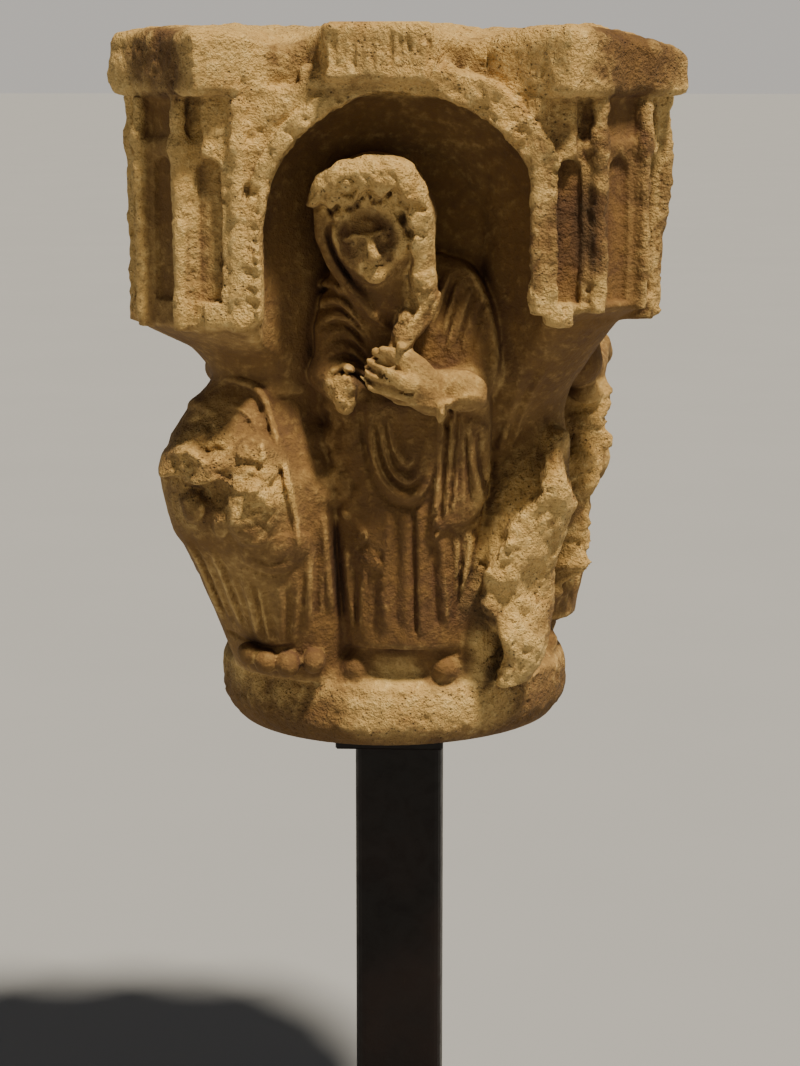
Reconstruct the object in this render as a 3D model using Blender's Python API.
"""A carved stone capital with figures under arches and corner turrets, held up on a square steel post.

Metres, +Z up. The origin is at the middle of the foot plate's underside, and the main figure faces -Y.
"""

import math

import bmesh
import bpy
from mathutils import Euler, Matrix, Vector

# Steel stand
FOOT_SIDE = 0.26
FOOT_THICKNESS = 0.012
FOOT_EDGE = 0.0015
POST_SIDE = 0.050
POST_WALL = 0.003
POST_CORNER = 0.006
POST_LENGTH = 0.300
SUPPORT_SIDE = 0.062
SUPPORT_THICKNESS = 0.020
SUPPORT_OFFSET = -0.005
SUPPORT_EDGE = 0.001
SEAT_GAP = 0.0003

# Stone capital, measured from its lower bed
CAPITAL_HEIGHT = 0.390
RING_RADIUS = 0.101
RING_HEIGHT = 0.036
RING_TOP_RADIUS = RING_RADIUS * 0.71
RING_ROUND = 0.016
BELL_FOOT_RADIUS = RING_RADIUS * 0.634
BELL_TOP_RADIUS = RING_RADIUS * 0.87
ABACUS_HALF = 0.155
ABACUS_CORNER = ABACUS_HALF * 0.626
ABACUS_THICKNESS = 0.036
ABACUS_HOLLOW = 0.024
ABACUS_HOLLOW_AT = ABACUS_HALF * 0.323
BLOCK_HALF = ABACUS_HALF * 0.168
BLOCK_SPLAY = 0.010
BLOCK_SHIFT = -0.005
TURRET_CENTRE = ABACUS_HALF * 0.4935
TURRET_APOTHEM = 0.063
TURRET_HEIGHT = CAPITAL_HEIGHT * 0.2975
TURRET_SIDES = 12
WALL_FACE = TURRET_CENTRE + TURRET_APOTHEM - 0.0005
SLOT_WIDTH = 0.012
SLOT_HEIGHT = TURRET_HEIGHT * 0.62
SLOT_DEPTH = 0.008
SLOT_SILL = 0.012
ARCH_RADIUS = 0.072
ARCH_BAND = 0.009
ARCH_SHIFT = 0.006
NICHE_DEPTH = 0.047
NICHE_TAPER = 0.72
CORBEL_REACH = TURRET_CENTRE * 2.09
CORBEL_START = CAPITAL_HEIGHT * 0.205

# Figures, whose parts are shares of their own height
FIGURE_HEIGHT = CAPITAL_HEIGHT * 0.738
CORNER_FIGURE_HEIGHT = CAPITAL_HEIGHT * 0.423

# Surface
CARVING_VOXEL = 0.0026
CARVING_SMOOTH = 3
CARVING_TRIANGLES = 8800
SMALL_BALL = 0.012
OVERLAP = 0.004

POST_BASE = FOOT_THICKNESS + SEAT_GAP
SUPPORT_BASE = POST_BASE + POST_LENGTH + SEAT_GAP
CAPITAL_BASE = SUPPORT_BASE + SUPPORT_THICKNESS + SEAT_GAP
TURRET_TOP = CAPITAL_HEIGHT - ABACUS_THICKNESS
TURRET_FOOT = TURRET_TOP - TURRET_HEIGHT
ARCH_SPRING = TURRET_TOP - ARCH_RADIUS - 0.001
NICHE_FOOT = TURRET_FOOT - 0.048


def clear_scene():
    """Remove every object, so that the script gives the same model each run."""
    for obj in list(bpy.data.objects):
        bpy.data.objects.remove(obj, do_unlink=True)


def make_material(name, colour, roughness, metallic):
    """A Principled material with one colour."""
    material = bpy.data.materials.new(name)
    material.use_nodes = True
    shader = material.node_tree.nodes["Principled BSDF"]
    shader.inputs["Base Color"].default_value = (*colour, 1.0)
    shader.inputs["Roughness"].default_value = roughness
    shader.inputs["Metallic"].default_value = metallic
    return material


def add_object(name, bm, material=None, height=0.0):
    """Turn a bmesh into a named object standing at a height."""
    bmesh.ops.recalc_face_normals(bm, faces=bm.faces)
    mesh = bpy.data.meshes.new(name)
    bm.to_mesh(mesh)
    bm.free()
    obj = bpy.data.objects.new(name, mesh)
    obj.location.z = height
    bpy.context.scene.collection.objects.link(obj)
    if material:
        mesh.materials.append(material)
    return obj


def as_helper(obj):
    """Keep a cutter or a construction piece out of the finished model."""
    obj.hide_render = True
    obj.display_type = "WIRE"
    return obj


def add_modifier(obj, kind, **settings):
    """Add a modifier and set its values."""
    modifier = obj.modifiers.new(kind.title(), kind)
    for name, value in settings.items():
        setattr(modifier, name, value)
    return modifier


# Shapes that the carving is blocked out from


def add_loft(bm, rings):
    """A closed skin over rings of points, all with the same number of points."""
    loops = [[bm.verts.new(point) for point in ring] for ring in rings]
    for lower, upper in zip(loops, loops[1:]):
        for i in range(len(lower)):
            j = (i + 1) % len(lower)
            bm.faces.new((lower[i], lower[j], upper[j], upper[i]))
    bm.faces.new(reversed(loops[0]))
    bm.faces.new(loops[-1])


def add_prism(bm, outline, low, high):
    """An outline in plan, carried straight up."""
    add_loft(bm, [[(x, y, z) for x, y in outline] for z in (low, high)])


def add_ball(bm, centre, radii, tilt=(0, 0, 0)):
    """An ellipsoid, with fewer facets when it is small."""
    facets = 2 if max(radii) < SMALL_BALL else 3
    turn = Euler(tilt).to_matrix().to_4x4()
    place = Matrix.Translation(centre) @ turn @ Matrix.Diagonal((*radii, 1))
    bmesh.ops.create_icosphere(bm, subdivisions=facets, radius=1, matrix=place)


def add_limb(bm, start, end, start_radius, end_radius):
    """A tapered round limb with round ends."""
    start, end = Vector(start), Vector(end)
    along = end - start
    turn = along.to_track_quat("Z", "Y").to_matrix().to_4x4()
    bmesh.ops.create_cone(
        bm,
        cap_ends=True,
        segments=12,
        radius1=start_radius,
        radius2=end_radius,
        depth=along.length,
        matrix=Matrix.Translation((start + end) / 2) @ turn,
    )
    add_ball(bm, start, (start_radius,) * 3)
    add_ball(bm, end, (end_radius,) * 3)


def add_fold(bm, points, radius):
    """A raised fold of cloth that runs through some points."""
    for start, end in zip(points, points[1:]):
        add_limb(bm, start, end, radius, radius)


# Plans


def polar_outline(radius_at, steps=72):
    """Points round the axis, at a radius that depends on the angle."""
    angles = [math.tau * i / steps for i in range(steps)]
    return [(radius_at(a) * math.cos(a), radius_at(a) * math.sin(a)) for a in angles]


def turned(outline, quarter):
    """A plan outline turned by some quarter turns."""
    turn = Matrix.Rotation(math.radians(90 * quarter), 2)
    return [tuple(turn @ Vector(point)) for point in outline]


def abacus_outline():
    """Cut corners, with a hollow and a small block in the middle of each side."""
    side = [
        (-ABACUS_CORNER, -ABACUS_HALF),
        (-ABACUS_HOLLOW_AT, -ABACUS_HALF + ABACUS_HOLLOW),
        (BLOCK_SHIFT - BLOCK_HALF - BLOCK_SPLAY, -ABACUS_HALF + ABACUS_HOLLOW * 0.8),
        (BLOCK_SHIFT - BLOCK_HALF, -ABACUS_HALF),
        (BLOCK_SHIFT + BLOCK_HALF, -ABACUS_HALF),
        (BLOCK_SHIFT + BLOCK_HALF + BLOCK_SPLAY, -ABACUS_HALF + ABACUS_HOLLOW * 0.8),
        (ABACUS_HOLLOW_AT, -ABACUS_HALF + ABACUS_HOLLOW),
        (ABACUS_CORNER, -ABACUS_HALF),
    ]
    return [point for quarter in range(4) for point in turned(side, quarter)]


def turret_outline(quarter):
    """A polygonal turret on one corner, with a flat side on the diagonal."""
    radius = TURRET_APOTHEM / math.cos(math.pi / TURRET_SIDES)
    centre = Vector((TURRET_CENTRE, -TURRET_CENTRE))
    outline = []
    for i in range(TURRET_SIDES):
        angle = math.radians(-45) + math.tau * (i + 0.5) / TURRET_SIDES
        outline.append(tuple(centre + Vector((math.cos(angle), math.sin(angle))) * radius))
    return turned(outline, quarter)


def share(value, low, high):
    """How far a value lies from low to high, from 0 to 1."""
    return min(1.0, max(0.0, (value - low) / (high - low)))


# Stone masonry


def add_ring(bm):
    """The rounded ring that the capital stands on."""
    middle = RING_HEIGHT * 0.45
    profile = [
        (RING_RADIUS - RING_ROUND * 0.5, -OVERLAP),
        (RING_RADIUS - RING_ROUND * 0.4, 0.0),
        (RING_RADIUS - RING_ROUND * 0.1, middle * 0.4),
        (RING_RADIUS, middle),
        (RING_RADIUS - RING_ROUND * 0.3, RING_HEIGHT * 0.72),
        (RING_RADIUS - RING_ROUND, RING_HEIGHT * 0.9),
        (RING_TOP_RADIUS, RING_HEIGHT),
        (RING_TOP_RADIUS, RING_HEIGHT + OVERLAP),
    ]
    rings = []
    for radius, z in profile:
        rings.append([(x, y, z) for x, y in polar_outline(lambda a, r=radius: r)])
    add_loft(bm, rings)


def add_bell(bm):
    """The core, round at its foot, whose corners spread into corbels below the turrets."""
    rings = []
    steps = 24
    for i in range(steps + 1):
        z = CAPITAL_HEIGHT * i / steps
        side = BELL_FOOT_RADIUS + (BELL_TOP_RADIUS - BELL_FOOT_RADIUS) * share(z, 0, TURRET_TOP)
        flare = share(z, CORBEL_START, TURRET_FOOT) ** 1.6
        reach = side + (CORBEL_REACH - side) * flare
        rings.append(
            [
                (x, y, z)
                for x, y in polar_outline(
                    lambda a, s=side, g=reach: s + (g - s) * abs(math.sin(2 * a)) ** 1.5
                )
            ]
        )
    add_loft(bm, rings)


def add_walls(bm):
    """The block between the turrets, which the arches are cut into."""
    half = TURRET_CENTRE + TURRET_APOTHEM * 0.3
    outline = []
    for quarter in range(4):
        outline += turned([(-half, -WALL_FACE), (half, -WALL_FACE)], quarter)
    add_prism(bm, outline, TURRET_FOOT, TURRET_TOP + OVERLAP)


def arch_outline(radius, foot):
    """A round-headed opening, as points across and up."""
    steps = 20
    points = [(-radius, foot)]
    for i in range(steps + 1):
        angle = math.pi * (1 - i / steps)
        points.append((radius * math.cos(angle), ARCH_SPRING + radius * math.sin(angle)))
    return points + [(radius, foot)]


def add_niche(bm, outline, quarter):
    """An opening carried into one side of the capital, drawn in towards its back."""
    middle = Vector((0, ARCH_SPRING))
    rings = []
    for out, scale in ((WALL_FACE + OVERLAP, 1.0), (WALL_FACE - NICHE_DEPTH, NICHE_TAPER)):
        ring = []
        for point in outline:
            across, up = middle + (Vector(point) - middle) * scale
            x, y = turned([(across + ARCH_SHIFT, -out)], quarter)[0]
            ring.append((x, y, up))
        rings.append(ring)
    add_loft(bm, rings)


def slot_cutter(bm, centre, facing):
    """A tall blind window, cut square into a turret's facet."""
    out = Vector((math.cos(facing), math.sin(facing)))
    along = Vector((-out.y, out.x)) * SLOT_WIDTH / 2
    near = centre + out * (TURRET_APOTHEM + SLOT_DEPTH)
    far = centre + out * (TURRET_APOTHEM - SLOT_DEPTH)
    outline = [tuple(near - along), tuple(near + along), tuple(far + along), tuple(far - along)]
    low = TURRET_FOOT + SLOT_SILL
    add_prism(bm, outline, low, low + SLOT_HEIGHT)


def carve_masonry():
    """The walls and turrets, with the niches and blind windows cut out of them."""
    block = bmesh.new()
    add_walls(block)
    masonry = as_helper(add_object("masonry_block", block))
    for quarter in range(4):
        turret = bmesh.new()
        add_prism(turret, turret_outline(quarter), TURRET_FOOT, TURRET_TOP + OVERLAP)
        joined = as_helper(add_object(f"turret_block_{quarter}", turret))
        add_modifier(masonry, "BOOLEAN", operation="UNION", object=joined)
    for quarter in range(4):
        niche = bmesh.new()
        outline = arch_outline(ARCH_RADIUS, NICHE_FOOT)
        add_niche(niche, outline, quarter)
        cut = as_helper(add_object(f"niche_cutter_{quarter}", niche))
        add_modifier(masonry, "BOOLEAN", operation="DIFFERENCE", object=cut)
    slots = bmesh.new()
    for quarter in range(4):
        centre = Vector(turned([(TURRET_CENTRE, -TURRET_CENTRE)], quarter)[0])
        for facet in (-1, 0, 1):
            facing = math.radians(90 * quarter - 45 + facet * 360 / TURRET_SIDES)
            slot_cutter(slots, centre, facing)
    cut = as_helper(add_object("slot_cutters", slots))
    add_modifier(masonry, "BOOLEAN", operation="DIFFERENCE", object=cut)
    return masonry


def add_arch_band(bm, quarter):
    """The raised band round one arch and down its jambs."""
    radius = ARCH_RADIUS + ARCH_BAND / 2
    points = arch_outline(radius, TURRET_FOOT + ARCH_BAND / 2)
    path = []
    for across, up in points:
        x, y = turned([(across + ARCH_SHIFT, -WALL_FACE + ARCH_BAND / 4)], quarter)[0]
        path.append((x, y, up))
    add_fold(bm, path, ARCH_BAND / 2)


# Figures, drawn facing -Y and then turned to their place


class Figure:
    """Places body shapes by shares of a figure's height, and turns them about the axis."""

    def __init__(self, bm, height, foot, angle):
        self.bm = bm
        self.height = height
        self.foot = foot
        self.angle = angle
        self.turn = Matrix.Rotation(angle, 4, "Z")

    def at(self, across, up, out):
        """A point: across the figure, up from its feet and out from the capital's axis."""
        h = self.height
        return self.turn @ Vector((across * h, -out * h, self.foot + up * h))

    def ball(self, place, radii, tilt=0.0):
        size = [r * self.height for r in radii]
        add_ball(self.bm, self.at(*place), size, (0, tilt, self.angle))

    def limb(self, start, end, start_radius, end_radius):
        h = self.height
        add_limb(self.bm, self.at(*start), self.at(*end), start_radius * h, end_radius * h)

    def fold(self, places, radius):
        add_fold(self.bm, [self.at(*place) for place in places], radius * self.height)


class Robe:
    """A closed robe through oval sections: height, middle, half width, back and front."""

    def __init__(self, figure, sections):
        self.figure = figure
        self.sections = sections
        steps = 24
        rings = []
        for i in range(steps + 1):
            up = sections[0][0] + (sections[-1][0] - sections[0][0]) * i / steps
            middle, half, back, front = self.section(up)
            rings.append(
                [
                    figure.at(
                        middle + half * math.cos(math.tau * k / 32),
                        up,
                        (front + back) / 2 - (front - back) / 2 * math.sin(math.tau * k / 32),
                    )
                    for k in range(32)
                ]
            )
        add_loft(figure.bm, rings)

    def section(self, up):
        """The oval at a height, between the two nearest sections."""
        for low, high in zip(self.sections, self.sections[1:]):
            if up <= high[0]:
                t = share(up, low[0], high[0])
                return [a + (b - a) * t for a, b in zip(low[1:], high[1:])]
        return self.sections[-1][1:]

    def surface(self, s, up):
        """A place on the robe's front, with s from -1 at one side to 1 at the other."""
        middle, half, back, front = self.section(up)
        bulge = math.sqrt(max(0.0, 1 - s * s))
        return (middle + half * s, up, (front + back) / 2 + (front - back) / 2 * bulge)

    def upright_fold(self, s_top, top, s_hem, hem, radius):
        """A fold that falls down the front."""
        steps = 4
        places = []
        for i in range(steps + 1):
            t = i / steps
            places.append(self.surface(s_top + (s_hem - s_top) * t, top + (hem - top) * t))
        self.figure.fold(places, radius)

    def hanging_fold(self, top, half, depth, radius):
        """A fold that hangs in a bow from one side to the other."""
        steps = 8
        places = []
        for i in range(steps + 1):
            s = 2 * i / steps - 1
            places.append(self.surface(half * s, top - depth * (1 - s * s)))
        self.figure.fold(places, radius)


STANDING_ROBE = [
    (0.07, 0.02, 0.125, 0.16, 0.345),
    (0.25, 0.025, 0.150, 0.16, 0.375),
    (0.45, 0.02, 0.155, 0.18, 0.405),
    (0.58, 0.02, 0.178, 0.20, 0.415),
    (0.68, 0.02, 0.160, 0.20, 0.410),
    (0.76, 0.01, 0.125, 0.20, 0.395),
    (0.81, 0.00, 0.055, 0.24, 0.370),
]
CROUCHING_ROBE = [
    (0.02, 0.00, 0.23, 0.30, 0.66),
    (0.30, 0.00, 0.25, 0.30, 0.76),
    (0.50, 0.00, 0.26, 0.30, 0.88),
    (0.70, 0.00, 0.27, 0.30, 0.97),
    (0.88, 0.00, 0.25, 0.30, 0.86),
    (1.00, 0.00, 0.17, 0.30, 0.68),
]
BROKEN_ROBE = [
    (-0.04, -0.04, 0.20, 0.30, 0.62),
    (0.20, -0.02, 0.27, 0.30, 0.74),
    (0.50, 0.03, 0.26, 0.30, 0.82),
    (0.75, 0.07, 0.19, 0.30, 0.74),
    (1.00, 0.10, 0.10, 0.30, 0.66),
]


def add_head(figure):
    """A head under a veil whose edge frames the face and falls to the hands."""
    figure.ball((-0.030, 0.880, 0.350), (0.098, 0.075, 0.122), -0.08)
    figure.ball((-0.036, 0.862, 0.392), (0.058, 0.048, 0.080), -0.12)
    figure.limb((-0.02, 0.78, 0.34), (-0.03, 0.85, 0.36), 0.052, 0.052)
    hood = []
    for degrees in range(-60, 241, 30):
        angle = math.radians(degrees)
        across = -0.034 + 0.078 * math.cos(angle)
        hood.append((across, 0.868 + 0.094 * math.sin(angle), 0.400))
    figure.fold(hood, 0.019)


def add_standing_figure(bm, angle, foot, plain=False):
    """A standing veiled figure with both hands clasped before the breast."""
    figure = Figure(bm, FIGURE_HEIGHT, foot, angle)
    robe = Robe(figure, STANDING_ROBE)
    add_head(figure)
    for side in (-1, 1):
        middle = 0.02
        shoulder = (middle + 0.110 * side, 0.725, 0.350)
        elbow = (middle + 0.150 * side, 0.590, 0.375)
        hand = (middle + 0.035 * side, 0.618, 0.425)
        figure.limb(shoulder, elbow, 0.045, 0.046)
        figure.limb(elbow, hand, 0.046, 0.034)
        figure.limb(
            (middle + 0.070 * side, 0.040, 0.300),
            (middle + 0.088 * side, 0.006, 0.335),
            0.030,
            0.024,
        )
    figure.ball((0.012, 0.615, 0.435), (0.068, 0.030, 0.042), 0.45)
    folds = 4 if plain else 6
    for i in range(folds):
        s = 1.7 * i / (folds - 1) - 0.85
        robe.upright_fold(s * 0.9, 0.40 if abs(s) < 0.5 else 0.54, s, 0.09, 0.019)
    if plain:
        return
    for n in range(3):
        robe.hanging_fold(0.56, 0.55 - 0.13 * n, 0.17 - 0.050 * n, 0.016)
    for side in (-1, 1):
        for n in range(2):
            robe.upright_fold(side * (0.35 + 0.2 * n), 0.78 - 0.03 * n, side * 0.3, 0.66, 0.013)
        robe.upright_fold(side * 0.9, 0.60, side * 0.97, 0.28, 0.018)
    figure.fold([(0.048, 0.83, 0.415), (0.048, 0.74, 0.415), (0.03, 0.66, 0.425)], 0.017)


def add_crouching_figure(bm, angle, foot):
    """A figure crouching under a turret, bent forward over its knees."""
    figure = Figure(bm, CORNER_FIGURE_HEIGHT, foot, angle)
    robe = Robe(figure, CROUCHING_ROBE)
    figure.ball((0.02, 0.64, 0.86), (0.17, 0.13, 0.16))
    for side in (-1, 1):
        figure.limb((0.23 * side, 0.84, 0.62), (0.26 * side, 0.54, 0.72), 0.09, 0.09)
        figure.limb((0.26 * side, 0.54, 0.72), (0.08 * side, 0.46, 0.89), 0.09, 0.06)
        figure.limb((0.12 * side, 0.36, 0.68), (0.11 * side, 0.10, 0.60), 0.10, 0.08)
        for n in range(3):
            s = side * (0.16 + 0.30 * n)
            robe.upright_fold(s, 0.40, s * 0.85, 0.04, 0.030)
        robe.upright_fold(side * 0.75, 0.95, side * 0.95, 0.55, 0.030)
    for n in range(5):
        across = -0.22 + 0.11 * n
        figure.limb((across, 0.05, 0.52), (across * 1.1, -0.02, 0.585), 0.062, 0.050)


def add_broken_corner(bm, angle, foot):
    """What is left where a corner figure has split away: a ridge of torn stone over a stump."""
    figure = Figure(bm, CORNER_FIGURE_HEIGHT, foot, angle)
    robe = Robe(figure, BROKEN_ROBE)
    robe.upright_fold(0.5, 0.98, -0.35, 0.42, 0.06)
    robe.upright_fold(-0.3, 0.45, -0.1, -0.02, 0.09)
    robe.upright_fold(0.4, 0.60, 0.55, 0.10, 0.05)
    for n in range(4):
        s = 0.55 * math.sin(2.4 * n)
        figure.ball(robe.surface(s, 0.12 + 0.2 * n), (0.11, 0.07, 0.09), 0.5 * n)


def carve_capital(stone):
    """The whole capital as one solid: blocked out, fused, and trimmed flat on both beds."""
    masonry = carve_masonry()
    bpy.context.view_layer.update()
    block = bmesh.new()
    block.from_object(masonry, bpy.context.evaluated_depsgraph_get())
    add_ring(block)
    add_bell(block)
    add_prism(block, abacus_outline(), TURRET_TOP, CAPITAL_HEIGHT + OVERLAP)
    for quarter in range(4):
        add_arch_band(block, quarter)
        add_standing_figure(block, math.radians(90 * quarter), RING_HEIGHT, plain=quarter > 0)
    corners = [math.radians(90 * quarter + 45) for quarter in range(4)]
    add_broken_corner(block, corners[0], RING_HEIGHT)
    for angle in corners[1:]:
        add_crouching_figure(block, angle, RING_HEIGHT)
    capital = add_object("capital", block, stone, CAPITAL_BASE)
    finish_carving(capital)
    return capital


def finish_carving(capital):
    """Fuse the blocked-out shapes, soften them, thin the mesh and trim both beds flat."""
    add_modifier(capital, "REMESH", mode="VOXEL", voxel_size=CARVING_VOXEL)
    add_modifier(capital, "SMOOTH", factor=0.5, iterations=CARVING_SMOOTH)
    bpy.context.view_layer.update()
    evaluated = capital.evaluated_get(bpy.context.evaluated_depsgraph_get())
    fused = evaluated.to_mesh()
    fused.calc_loop_triangles()
    ratio = CARVING_TRIANGLES / len(fused.loop_triangles)
    evaluated.to_mesh_clear()
    add_modifier(capital, "DECIMATE", ratio=ratio, use_collapse_triangulate=True)
    trim = bmesh.new()
    reach = ABACUS_HALF * 1.3
    square = [(-reach, -reach), (reach, -reach), (reach, reach), (-reach, reach)]
    add_prism(trim, square, 0.0, CAPITAL_HEIGHT)
    trimmer = as_helper(add_object("bed_trimmer", trim, height=CAPITAL_BASE))
    add_modifier(capital, "BOOLEAN", operation="INTERSECT", object=trimmer)


# Steel stand


def rounded_square(side, corner, steps=4):
    """A square outline with round corners."""
    inner = side / 2 - corner
    outline = []
    for quarter in range(4):
        for i in range(steps + 1):
            angle = math.radians(90 * (quarter + i / steps))
            across = math.copysign(inner, math.cos(math.radians(90 * quarter + 45)))
            up = math.copysign(inner, math.sin(math.radians(90 * quarter + 45)))
            outline.append((across + corner * math.cos(angle), up + corner * math.sin(angle)))
    return outline


def make_plate(name, side, thickness, edge, height, steel, offset=0.0):
    """A square steel plate with a narrow chamfer."""
    bm = bmesh.new()
    size = Matrix.Diagonal((side, side, thickness, 1))
    bmesh.ops.create_cube(bm, size=1, matrix=Matrix.Translation((0, 0, thickness / 2)) @ size)
    plate = add_object(name, bm, steel, height)
    plate.location.x = offset
    add_modifier(plate, "BEVEL", width=edge, segments=1)
    return plate


def make_post(steel):
    """A square hollow section, open at both ends."""
    bm = bmesh.new()
    outer = rounded_square(POST_SIDE, POST_CORNER)
    inner = rounded_square(POST_SIDE - 2 * POST_WALL, POST_CORNER - POST_WALL)
    rings = []
    for outline, z in ((outer, 0), (outer, POST_LENGTH), (inner, POST_LENGTH), (inner, 0)):
        rings.append([bm.verts.new((x, y, z)) for x, y in outline])
    for ring, following in zip(rings, rings[1:] + rings[:1]):
        for i in range(len(ring)):
            j = (i + 1) % len(ring)
            bm.faces.new((ring[i], ring[j], following[j], following[i]))
    post = add_object("post", bm, steel, POST_BASE)
    post.data.shade_smooth()
    post.data.set_sharp_from_angle(angle=math.radians(40))
    return post


def main():
    clear_scene()
    stone = make_material("stone", (0.56, 0.41, 0.24), 0.92, 0.0)
    steel = make_material("black_steel", (0.018, 0.015, 0.013), 0.45, 0.0)
    make_plate("foot_plate", FOOT_SIDE, FOOT_THICKNESS, FOOT_EDGE, 0.0, steel)
    make_post(steel)
    make_plate(
        "support_plate",
        SUPPORT_SIDE,
        SUPPORT_THICKNESS,
        SUPPORT_EDGE,
        SUPPORT_BASE,
        steel,
        SUPPORT_OFFSET,
    )
    carve_capital(stone)


main()
